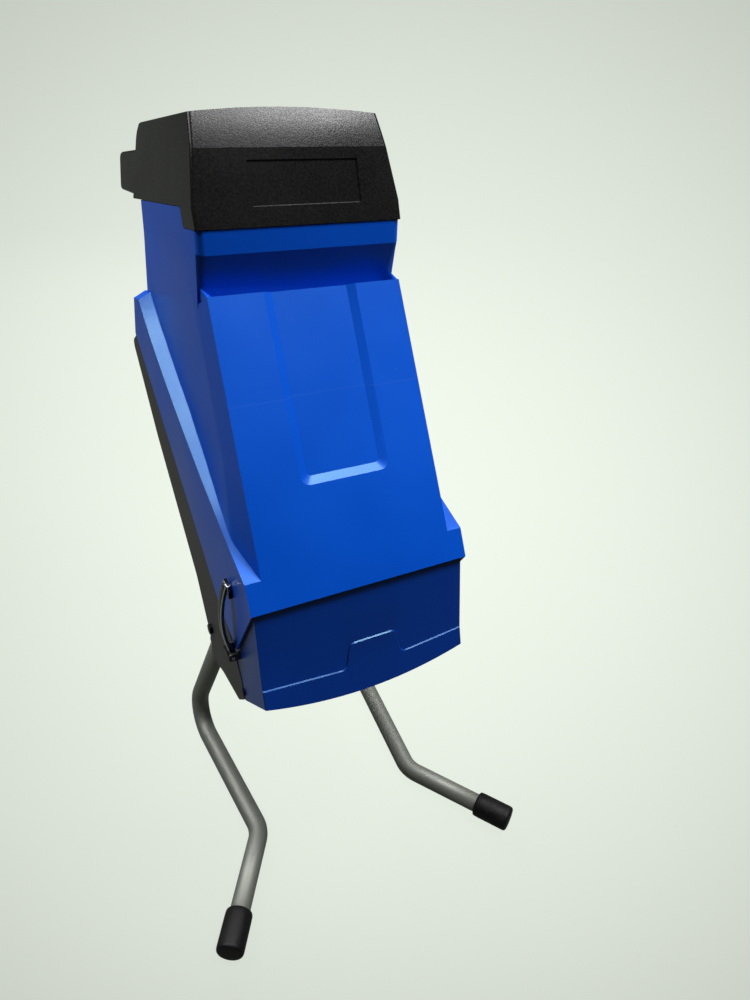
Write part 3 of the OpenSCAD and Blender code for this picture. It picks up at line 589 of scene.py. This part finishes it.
# Front shell: waist, chute and cheeks in one moulding
FLANK = [(460, 123.4), (480, 121.4), (500, 118.6), (520, 115.8), (545, 113.2), (590, 112), (640, 110.4),
         (699, 108.4)]
WAIST = [(86.2, 440.8), (150, 420), (452, 560), (513.6, 618), (511.6, 698), (307.6, 698), (269.6, 685),
         (247.6, 699)]
CHUTE = [(1, -0.6), (3.5, -23.2), (21, -55), (31, -90), (264.4, -100), (266.4, -93), (239.2, 18.4),
         (50, 18.4), (45, -0.6)]
CHUTE_HALF = 108.4
PANEL_HALF = 108.5
PANEL_TAPER = 0.015
TAPER_FROM = 88
FACET_DEPTH = 38
FACET_BLEND = 0.15
CHEEK_HALF = 126.7
CHEEK_INNER = 112
CHEEK_REAR = (505, 614)
RIDGE = [(474, 622), (462, 611.5), (450, 603), (435, 593.6), (420, 585), (400, 574.4), (380, 564.5),
         (355, 552.6), (329, 541), (291, 525.2), (253, 510.5), (218, 498), (183, 486.5), (159, 479),
         (135, 472), (99.6, 462.15)]
RIDGE_LIFT = 8.2
LIFT_FROM = 115
LIFT_OVER = 130
KNUCKLE = [(521.2, 564.6), (534, 558.5), (542.2, 559), (546, 564), (544.5, 571), (538, 573.4),
           (507.3, 607.9)]
KNUCKLE_PLACE = 60
FILLET = [(104.6, 248, 698.6), (99, 248.6, 698.2), (105.4, 266, 700.8), (106.6, 280, 699.5),
          (106.6, 280, 688), (98, 275, 686), (104.8, 253, 689)]


def panel_half(along, depth, up):
    """Half width beside the panel: from its edge over a soft facet to the flank."""
    edge = PANEL_HALF - PANEL_TAPER * (along - TAPER_FROM)
    share = depth / FACET_DEPTH
    if share > 1 + FACET_BLEND:
        share = 1
    elif share > 1 - FACET_BLEND:
        share -= (share - 1 + FACET_BLEND) ** 2 / (4 * FACET_BLEND)
    return edge + (value_at(FLANK, up) - edge) * share


def waist_solid():
    bm = prism(WAIST, 120)
    bmesh.ops.transform(bm, matrix=BACK.inverted(), verts=bm.verts)
    cut(bm, (0, -0.4, 0), (0, 1, 0), clear=True)
    for y in (-3, -9):
        cut(bm, (0, y, 0), (0, 1, 0))
    bmesh.ops.transform(bm, matrix=BACK, verts=bm.verts)
    for up in (470, 480, 490, 500, 510, 520, 532, 545, 560, 590, 640):
        cut(bm, (0, 0, up), (0, 0, 1))
    bmesh.ops.transform(bm, matrix=PANEL.inverted(), verts=bm.verts)
    for depth in (32.3, 36, 40, 43.7):
        cut(bm, (0, 0, -depth), (0, 0, 1))
    # Drawn in to the flanks, with the rear corners eased.
    to_back = BACK.inverted() @ PANEL
    for vert in bm.verts:
        half = panel_half(vert.co.y, -vert.co.z, (PANEL @ vert.co).z)
        from_rear = -(to_back @ vert.co).y
        if from_rear < 1:
            half -= 4.5
        elif from_rear < 4:
            half -= 1
        vert.co.x = math.copysign(half, vert.co.x)
    bmesh.ops.recalc_face_normals(bm, faces=bm.faces)
    return to_object("waist", bm, PANEL)


def recess_tool():
    """The long recess of the panel, as the shape that is cut away: sloped sides, round lower corners."""
    top = 314
    bm = bmesh.new()
    rings = []
    for inset, depth, radius in ((-9, 4, 16), (0, 0, 10), (9, -4, 5)):
        left, right, low = -48 + inset, 53 - inset, 116 + inset
        corners = [*arc((left + radius, low + radius), radius, 180, 270, 6),
                   *arc((right - radius, low + radius), radius, 270, 360, 6)]
        points = [(left, top), *corners, (right, top)]
        rings.append([bm.verts.new((x, along, depth)) for x, along in points])
    for lower, upper in zip(rings, rings[1:]):
        for k in range(len(lower)):
            j = (k + 1) % len(lower)
            bm.faces.new((lower[k], lower[j], upper[j], upper[k]))
    bm.faces.new(rings[0])
    bm.faces.new(rings[-1])
    bmesh.ops.recalc_face_normals(bm, faces=bm.faces)
    return to_object("recess", bm, PANEL)


def chute_solid():
    bm = prism(CHUTE, CHUTE_HALF)
    front = edges_where(bm, lambda c: c.y < 31 and c.z < 0)
    round_off(bm, [edge for edge in front if keeps_side(edge)], 11, 7)
    rear = edges_where(bm, lambda c: abs(c.x) > CHUTE_HALF - 0.4 and c.y > 230)
    round_off(bm, [edge for edge in rear if keeps_side(edge)], 8, 8)
    bmesh.ops.recalc_face_normals(bm, faces=bm.faces)
    return to_object("chute", bm, HOOD)


def cheek_solid():
    """The cheeks, with a ridge that rises inward more and more towards the rear."""
    tops = [CHEEK_REAR, *RIDGE]
    bm = prism([LIP, SKIRT, SPLIT_START, SPLIT_END, *tops], CHEEK_HALF)
    for x in (-CHEEK_INNER, CHEEK_INNER):
        cut(bm, (x, 0, 0), (1, 0, 0))
    for vert in bm.verts:
        on_top = any(abs(vert.co.y - y) < 0.05 and abs(vert.co.z - z) < 0.05 for y, z in tops)
        if on_top and abs(vert.co.x) < CHEEK_INNER + 1:
            share = min(max((vert.co.y - LIFT_FROM) / LIFT_OVER, 0), 1)
            vert.co.z += RIDGE_LIFT * share * share * (3 - 2 * share)
    return to_object("cheeks", bm, BODY)


def knuckle_solid(side):
    bm = prism(KNUCKLE, 10)
    bmesh.ops.translate(bm, vec=(side * KNUCKLE_PLACE, 0, 0), verts=bm.verts)
    return to_object("knuckle", bm, BODY)


def corner_fillets():
    """Fillets that close the groove above the panel at both sides."""
    bm = bmesh.new()
    for side in (-1, 1):
        verts = [bm.verts.new((side * x, y, z)) for x, y, z in FILLET]
        bmesh.ops.convex_hull(bm, input=verts)
    bmesh.ops.recalc_face_normals(bm, faces=bm.faces)
    piece("chute_fillets", bm, BODY, "blue_shell", "hopper", edge=1.2, angle=20)


def front_shell():
    solids = [cheek_solid(), waist_solid(), chute_solid(), knuckle_solid(-1), knuckle_solid(1)]
    bm = merged(solids, recess_tool())
    bmesh.ops.transform(bm, matrix=TO_METRES.inverted(), verts=bm.verts)
    bmesh.ops.remove_doubles(bm, verts=bm.verts, dist=0.02)
    bmesh.ops.dissolve_limit(bm, angle_limit=math.radians(0.5), verts=bm.verts, edges=bm.edges)
    to_hood = HOOD.inverted()
    split = (LIP, SKIRT, SPLIT_START, SPLIT_END)

    def is_open(face):
        """Whether a face lies under the hood or along the split, where the moulding is open."""
        centre = face.calc_center_median()
        if abs(face.normal.x) >= 0.7 or abs(centre.x) >= 100:
            return False
        on_hood = to_hood @ centre
        if on_hood.z > -1 and on_hood.y > 2:
            return True
        for (y0, z0), (y1, z1) in zip(split, split[1:]):
            across = (centre.y - y0) * (z1 - z0) - (centre.z - z0) * (y1 - y0)
            if abs(across) < 8 and min(z0, z1) - 1 < centre.z < max(z0, z1) + 1:
                return True
        return False

    drop(bm, [face for face in bm.faces if is_open(face)])
    piece("front_moulding", bm, BODY, "blue_shell", "hopper", ("front_shell",), wall=3, edge=1.3, angle=14)


front_shell()
corner_fillets()

# Lower cover
COVER = [(58, 321), (125, 265), (133, 287), (158, 319), (186, 343), (176, 372), (86.5, 432.5), (66, 343)]
COVER_HALF = 122.8
COVER_BOW = 15
RIM_UP = 342
RIM_PATH = [(-COVER_HALF, RIM_UP), *arc((-32.2, 343), 7, 274, 336, 5), *arc((-15, 359), 7, 156, 90, 5),
            *arc((31, 359), 7, 90, 24, 5), *arc((48.2, 343), 7, 204, 266, 5), (COVER_HALF, RIM_UP)]


def lower_cover():
    side_from, rear_from, top_from = COVER_HALF - 0.8, 90, 425
    bm = prism(COVER, COVER_HALF)

    def on_front(c):
        return abs(c.x) < side_from

    drop(bm, faces_where(bm, lambda c: on_front(c) and (c.y > rear_from or c.z > top_from)))
    for k in range(-9, 10):
        cut(bm, (k * COVER_HALF / 10, 0, 0), (1, 0, 0), faces_where(bm, on_front))
    # Bowed lower edge, on the same slope.
    for vert in bm.verts:
        if abs(vert.co.z - COVER[0][1]) < 0.1 and vert.co.y < 60:
            bow = COVER_BOW * (1 - (vert.co.x / COVER_HALF) ** 2)
            vert.co.z -= bow
            vert.co.y -= 0.3 * bow
    # Raised rim along the foot, with a step up in the middle.
    for x, _ in RIM_PATH[1:-1]:
        cut(bm, (x, 0, 0), (1, 0, 0), faces_where(bm, on_front))
    for (x0, z0), (x1, z1) in zip(RIM_PATH, RIM_PATH[1:]):
        column = faces_where(bm, lambda c: x0 < c.x < x1 and on_front(c))
        cut(bm, (x0, 0, z0), (z0 - z1, 0, x1 - x0), column)
    for side in (-1, 1):
        cut(bm, (0, 0, RIM_UP), (0, 0, 1), faces_where(bm, lambda c: c.x * side > side_from))

    def in_rim(c):
        if on_front(c):
            return c.z < value_at(RIM_PATH, c.x)
        return c.z < RIM_UP and c.y < rear_from

    rim = faces_where(bm, in_rim)
    bmesh.ops.recalc_face_normals(bm, faces=bm.faces)
    bmesh.ops.inset_region(bm, faces=rim, thickness=1.0, depth=1.4, use_even_offset=True,
                           use_boundary=False)
    corner = edges_where(bm, lambda c: abs(c.x) > side_from and c.y < rear_from)
    round_off(bm, [edge for edge in corner if rise(edge) > 3 and edge.calc_face_angle(0) > 1], 3.5, 3)
    piece("cover_moulding", bm, BODY, "dark_blue", "base", ("lower_cover",), wall=3, edge=0.8)


lower_cover()

# Legs and foot caps
TUBE_RADIUS = 12.5
BEND_RADIUS = 42
FOOT_LENGTH = 154
FOOT_SPLAY = math.radians(32.7)
FOOT_LIFT = 4.3 / 110
RISE_LENGTH = 298
RISE_LEAN = math.radians(20)
RISE_TUCK = math.radians(7.8)
FRONT_BEND = (115, 113)
REAR_BEND = (136, 349)
CAP_OUTLINE = [(0, 0), (13.4, 0), (14.9, 0.4), (16, 1.4), (16.6, 2.9), (16.8, 5), (16.8, 40), (16.6, 46.2),
               (15.9, 48.2), (14.6, 49), (TUBE_RADIUS, 49), (TUBE_RADIUS, 6)]
CAP_NOSE = 5


def leg_axes(side):
    """Corner points of one tube, from the foot's tip to the upper end."""
    foot = Vector((side * math.sin(FOOT_SPLAY), -math.cos(FOOT_SPLAY), FOOT_LIFT)).normalized()
    rise_way = Vector((-side * math.sin(RISE_TUCK), -math.sin(RISE_LEAN) * math.cos(RISE_TUCK),
                       math.cos(RISE_LEAN) * math.cos(RISE_TUCK)))
    front = Vector((side * FRONT_BEND[0], FRONT_BEND[1], TUBE_RADIUS))
    rear = Vector((side * REAR_BEND[0], REAR_BEND[1], TUBE_RADIUS))
    return front + FOOT_LENGTH * foot, front, rear, rear + RISE_LENGTH * rise_way


def turned_to(way):
    return way.to_track_quat("Z", "Y").to_matrix().to_4x4()


def leg(side):
    """One tube drawn through two bends."""
    tip, front, rear, top = leg_axes(side)
    way = (front - tip).normalized()
    start = Matrix.Translation(tip) @ turned_to(way)
    bm = bmesh.new()
    ring = bmesh.ops.create_circle(bm, segments=40, radius=TUBE_RADIUS, matrix=start)["verts"]

    def drawn_on(move):
        grown = grown_verts(bmesh.ops.extrude_edge_only(bm, edges=ring_edges(bm, ring))["geom"])
        bmesh.ops.translate(bm, vec=move, verts=grown)
        return grown

    at = tip
    for corner, after in ((front, rear), (rear, top)):
        new_way = (after - corner).normalized()
        angle = way.angle(new_way)
        short = BEND_RADIUS * math.tan(angle / 2)
        ring = drawn_on(corner - short * way - at)
        centre = corner + BEND_RADIUS / math.cos(angle / 2) * (new_way - way).normalized()
        axis = way.cross(new_way).normalized()
        spun = bmesh.ops.spin(bm, geom=ring + ring_edges(bm, ring), cent=centre, axis=axis, angle=angle,
                              steps=14)
        ring = grown_verts(spun["geom_last"])
        at = corner + short * new_way
        way = new_way
    drawn_on(top - at)
    bmesh.ops.remove_doubles(bm, verts=bm.verts, dist=0.01)
    bmesh.ops.recalc_face_normals(bm, faces=bm.faces)
    name = hand(side)
    piece(f"leg_tube_{name}", bm, BODY, "tube_paint", "base", (f"leg_{name}",), wall=1.5, angle=40)


def foot_cap(side):
    """Rubber cap with a rounded nose and a rolled rear edge."""
    tip, front, _, _ = leg_axes(side)
    way = (tip - front).normalized()
    bm = bmesh.new()
    verts = [bm.verts.new((r, 0, -z)) for r, z in CAP_OUTLINE]
    edges = [bm.edges.new(pair) for pair in zip(verts, verts[1:])]
    bmesh.ops.spin(bm, geom=verts + edges, cent=(0, 0, 0), axis=(0, 0, 1), angle=math.tau, steps=40,
                   use_merge=True)
    bmesh.ops.remove_doubles(bm, verts=bm.verts, dist=0.01)
    bmesh.ops.recalc_face_normals(bm, faces=bm.faces)
    place = Matrix.Translation(tip + CAP_NOSE * way) @ turned_to(way)
    name = hand(side)
    piece(f"cap_{name}", bm, place, "cap_rubber", "base", (f"foot_cap_{name}",), angle=50)


for side in (-1, 1):
    leg(side)
    foot_cap(side)

# Latches, drawn for the right-hand side
STRAP_CENTRE = (-19, 0, 380)
STRAP_START = math.radians(-19.5)
STRAP_SWEEP = math.radians(37.3)
STRAP_SECTION = [(155.5, 143), (160, 143), (160, 153), (155.5, 153)]
HOOK = [(131.3, 418.4), (127.8, 425.4), (127.8, 429), (132.7, 429)]
HOOK_FRONT = 141
HOOK_WIDTH = 14
EYE_CENTRE = (131, 0, 326)
EYE_SECTION = [(2.05, 141), (5, 141), (5.5, 141.5), (5.5, 154.5), (5, 155), (2.05, 155)]


def paint_edge_highlight(bm, edges, width):
    """Rounds edges and gives them the second finish, bright metal that paints a highlight along them."""
    for face in round_off(bm, edges, width, 2)["faces"]:
        face.material_index = 1


def latch_bow():
    bm = bmesh.new()
    x, _, z = STRAP_CENTRE
    verts = [bm.verts.new((x + r * math.cos(STRAP_START), y, z + r * math.sin(STRAP_START)))
             for r, y in STRAP_SECTION]
    face = bm.faces.new(verts)
    bmesh.ops.spin(bm, geom=[face, *face.edges, *verts], cent=STRAP_CENTRE, axis=(0, -1, 0),
                   angle=STRAP_SWEEP, steps=14)
    bmesh.ops.remove_doubles(bm, verts=bm.verts, dist=0.01)
    bmesh.ops.recalc_face_normals(bm, faces=bm.faces)
    paint_edge_highlight(bm, [edge for edge in bm.edges if edge.calc_face_angle(0) > 1], 0.9)
    return bm


def latch_hook():
    bm = bmesh.new()
    lip = bm.faces.new([bm.verts.new((x, HOOK_FRONT, z)) for x, z in HOOK])
    grown = bmesh.ops.extrude_face_region(bm, geom=[lip])["geom"]
    bmesh.ops.translate(bm, vec=(0, HOOK_WIDTH, 0), verts=grown_verts(grown))
    bmesh.ops.recalc_face_normals(bm, faces=bm.faces)
    paint_edge_highlight(bm, bm.edges[:], 0.6)
    return bm


def latch_eye():
    bm = bmesh.new()
    x, _, z = EYE_CENTRE
    verts = [bm.verts.new((x + r, y, z)) for r, y in EYE_SECTION]
    edges = [bm.edges.new(pair) for pair in zip(verts, verts[1:] + verts[:1])]
    bmesh.ops.spin(bm, geom=verts + edges, cent=EYE_CENTRE, axis=(0, 1, 0), angle=math.tau, steps=28,
                   use_merge=True)
    bmesh.ops.remove_doubles(bm, verts=bm.verts, dist=0.01)
    bmesh.ops.recalc_face_normals(bm, faces=bm.faces)
    return bm


def latch(side):
    """A bowed strap with a hook at its upper end and an eye on its pin, with a painted highlight of bright
    metal along its edges.
    """
    bm = joined(latch_bow(), latch_hook(), latch_eye())
    if side < 0:
        bmesh.ops.scale(bm, vec=(-1, 1, 1), verts=bm.verts)
        bmesh.ops.reverse_faces(bm, faces=bm.faces)
    name = hand(side)
    obj = piece(f"latch_strap_{name}", bm, BODY, "black_plastic", f"latch_{name}", (f"latch_{name}",),
                finish=latch_black, angle=40)
    obj.data.materials.append(painted_edge_highlight)


for side in (-1, 1):
    latch(side)

# Floor, world and lamps
FLOOR_HALF = 300
BACKDROP_LEVEL = 0.94
LAMPS = (
    ("key", (0.82, -0.55, 2.7), (0, -0.1, 0.6), 0.6, 60),
    ("left", (-1.15, 0.58, 2.26), (0, 0.1, 0.6), 0.9, 32),
    ("glint", (-1.1, 0.42, 2.25), (0, 0.1, 0.6), 1.3, 28),
    ("canopy", (0.3, 0.25, 2.5), (0, 0, 0.4), 1.1, 28),
    ("right", (0.95, -0.5, 1.6), (0, -0.2, 0.4), 0.5, 7),
    ("rear", (0.25, 2.1, 1.35), (0, 0, 0.1), 0.9, 65),
)
NOT_MIRRORED = ("right", "rear")
ONLY_MIRRORED = ("glint", "canopy")


def backdrop_shade(nodes, way):
    """Pale grey, brightest in the middle of the picture."""
    middle = nodes.vector("DOT_PRODUCT", way, SIGHT, out="Value")
    return nodes.tint(nodes.span(middle, 0.76, 1), shade(204, 210, 200), shade(245, 253, 241))


def floor_pale():
    """Pale floor that keeps a faint shadow and throws little light back."""
    paint = Paint("floor_pale", Roughness=0.9, Specular_IOR_Level=0.0)
    way = paint.vector("NORMALIZE", paint.vector("SUBTRACT", paint.place, CAMERA_PLACE))
    glow = paint.node("ShaderNodeEmission", None, {"Color": backdrop_shade(paint, way)})
    seen = paint.node("ShaderNodeLightPath", out="Is Camera Ray")
    mirror = paint.node("ShaderNodeLightPath", out="Is Glossy Ray")
    lit = paint.tint(seen, shade(30, 31, 30), shade(150, 155, 148))
    paint.feed(paint.shader.inputs["Base Color"], lit)
    blend = paint.node("ShaderNodeMixShader", None, {
        0: seen * BACKDROP_LEVEL + mirror * 0.25, 1: Value(paint, paint.shader.outputs[0]), 2: glow})
    paint.feed(paint.tree.nodes["Material Output"].inputs[0], blend)
    return paint.material


def sky():
    """A pale sky for the eye, a dim one for the light it sheds."""
    world = bpy.data.worlds.new("world")
    world.use_nodes = True
    nodes = Nodes(world.node_tree)
    back = nodes.tree.nodes["Background"]
    way = nodes.node("ShaderNodeTexCoord", out="Generated")
    seen = nodes.node("ShaderNodeLightPath", out="Is Camera Ray")
    nodes.feed(back.inputs["Color"], backdrop_shade(nodes, way))
    nodes.feed(back.inputs["Strength"], nodes.span(seen, 0, 1, 0.05, BACKDROP_LEVEL))
    bpy.context.scene.world = world


def add_lamp(name, place, target, size, power):
    lamp = bpy.data.lights.new(name, "AREA")
    lamp.energy = power
    lamp.size = size
    obj = bpy.data.objects.new(name, lamp)
    way = Vector(target) - Vector(place)
    obj.matrix_world = Matrix.Translation(place) @ way.to_track_quat("-Z", "Y").to_matrix().to_4x4()
    obj.visible_glossy = name not in NOT_MIRRORED
    obj.visible_diffuse = name not in ONLY_MIRRORED
    bpy.context.collection.objects.link(obj)


def studio():
    bm = bmesh.new()
    bmesh.ops.create_grid(bm, x_segments=2, y_segments=2, size=FLOOR_HALF)
    mesh = bpy.data.meshes.new("floor")
    bm.to_mesh(mesh)
    bm.free()
    mesh.materials.append(floor_pale())
    ground = bpy.data.objects.new("floor", mesh)
    bpy.context.collection.objects.link(ground)
    sky()
    for lamp in LAMPS:
        add_lamp(*lamp)
    bpy.context.scene.view_settings.view_transform = "Standard"


studio()
